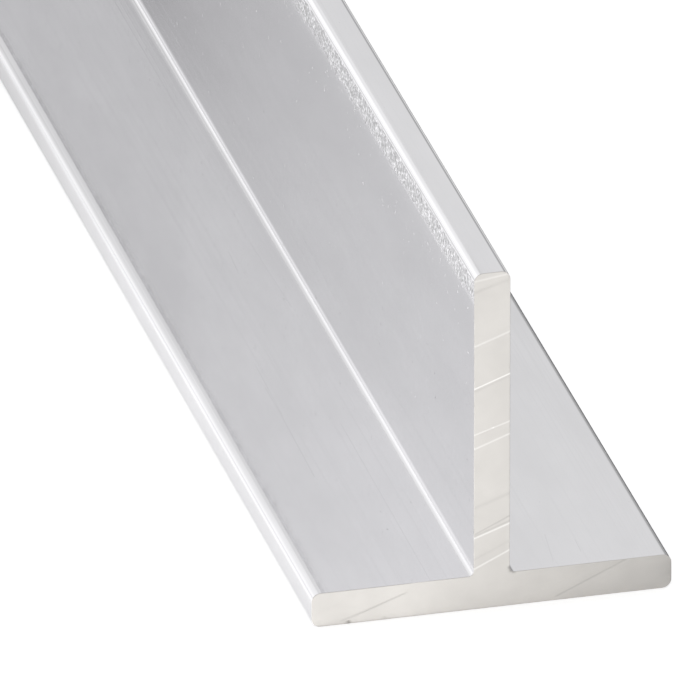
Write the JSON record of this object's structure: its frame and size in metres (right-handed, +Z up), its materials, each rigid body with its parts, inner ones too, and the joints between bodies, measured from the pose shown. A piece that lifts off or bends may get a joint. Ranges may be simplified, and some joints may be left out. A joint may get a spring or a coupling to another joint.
{
  "type": "aluminium t-profile",
  "caption": "Straight extruded T-section bar with rounded edges and sawn ends, to cover or join panel edges and carry them in its two rebates.",
  "frame": {"origin": "on the underside of the flange, half way across it and half way along the bar", "axes": "+Y along the bar, +Z up the web from the underside of the flange, +X across the flange; the sawn end shown in the picture faces -Y"},
  "size_m": [0.02, 1, 0.02],
  "materials": {
    "satin_anodised_aluminium": "satin anodised faces with faint lengthways die lines, bare sawn ends"
  },
  "bodies": {
    "root": {"t_profile": "satin_anodised_aluminium"}
  },
  "joints": []
}
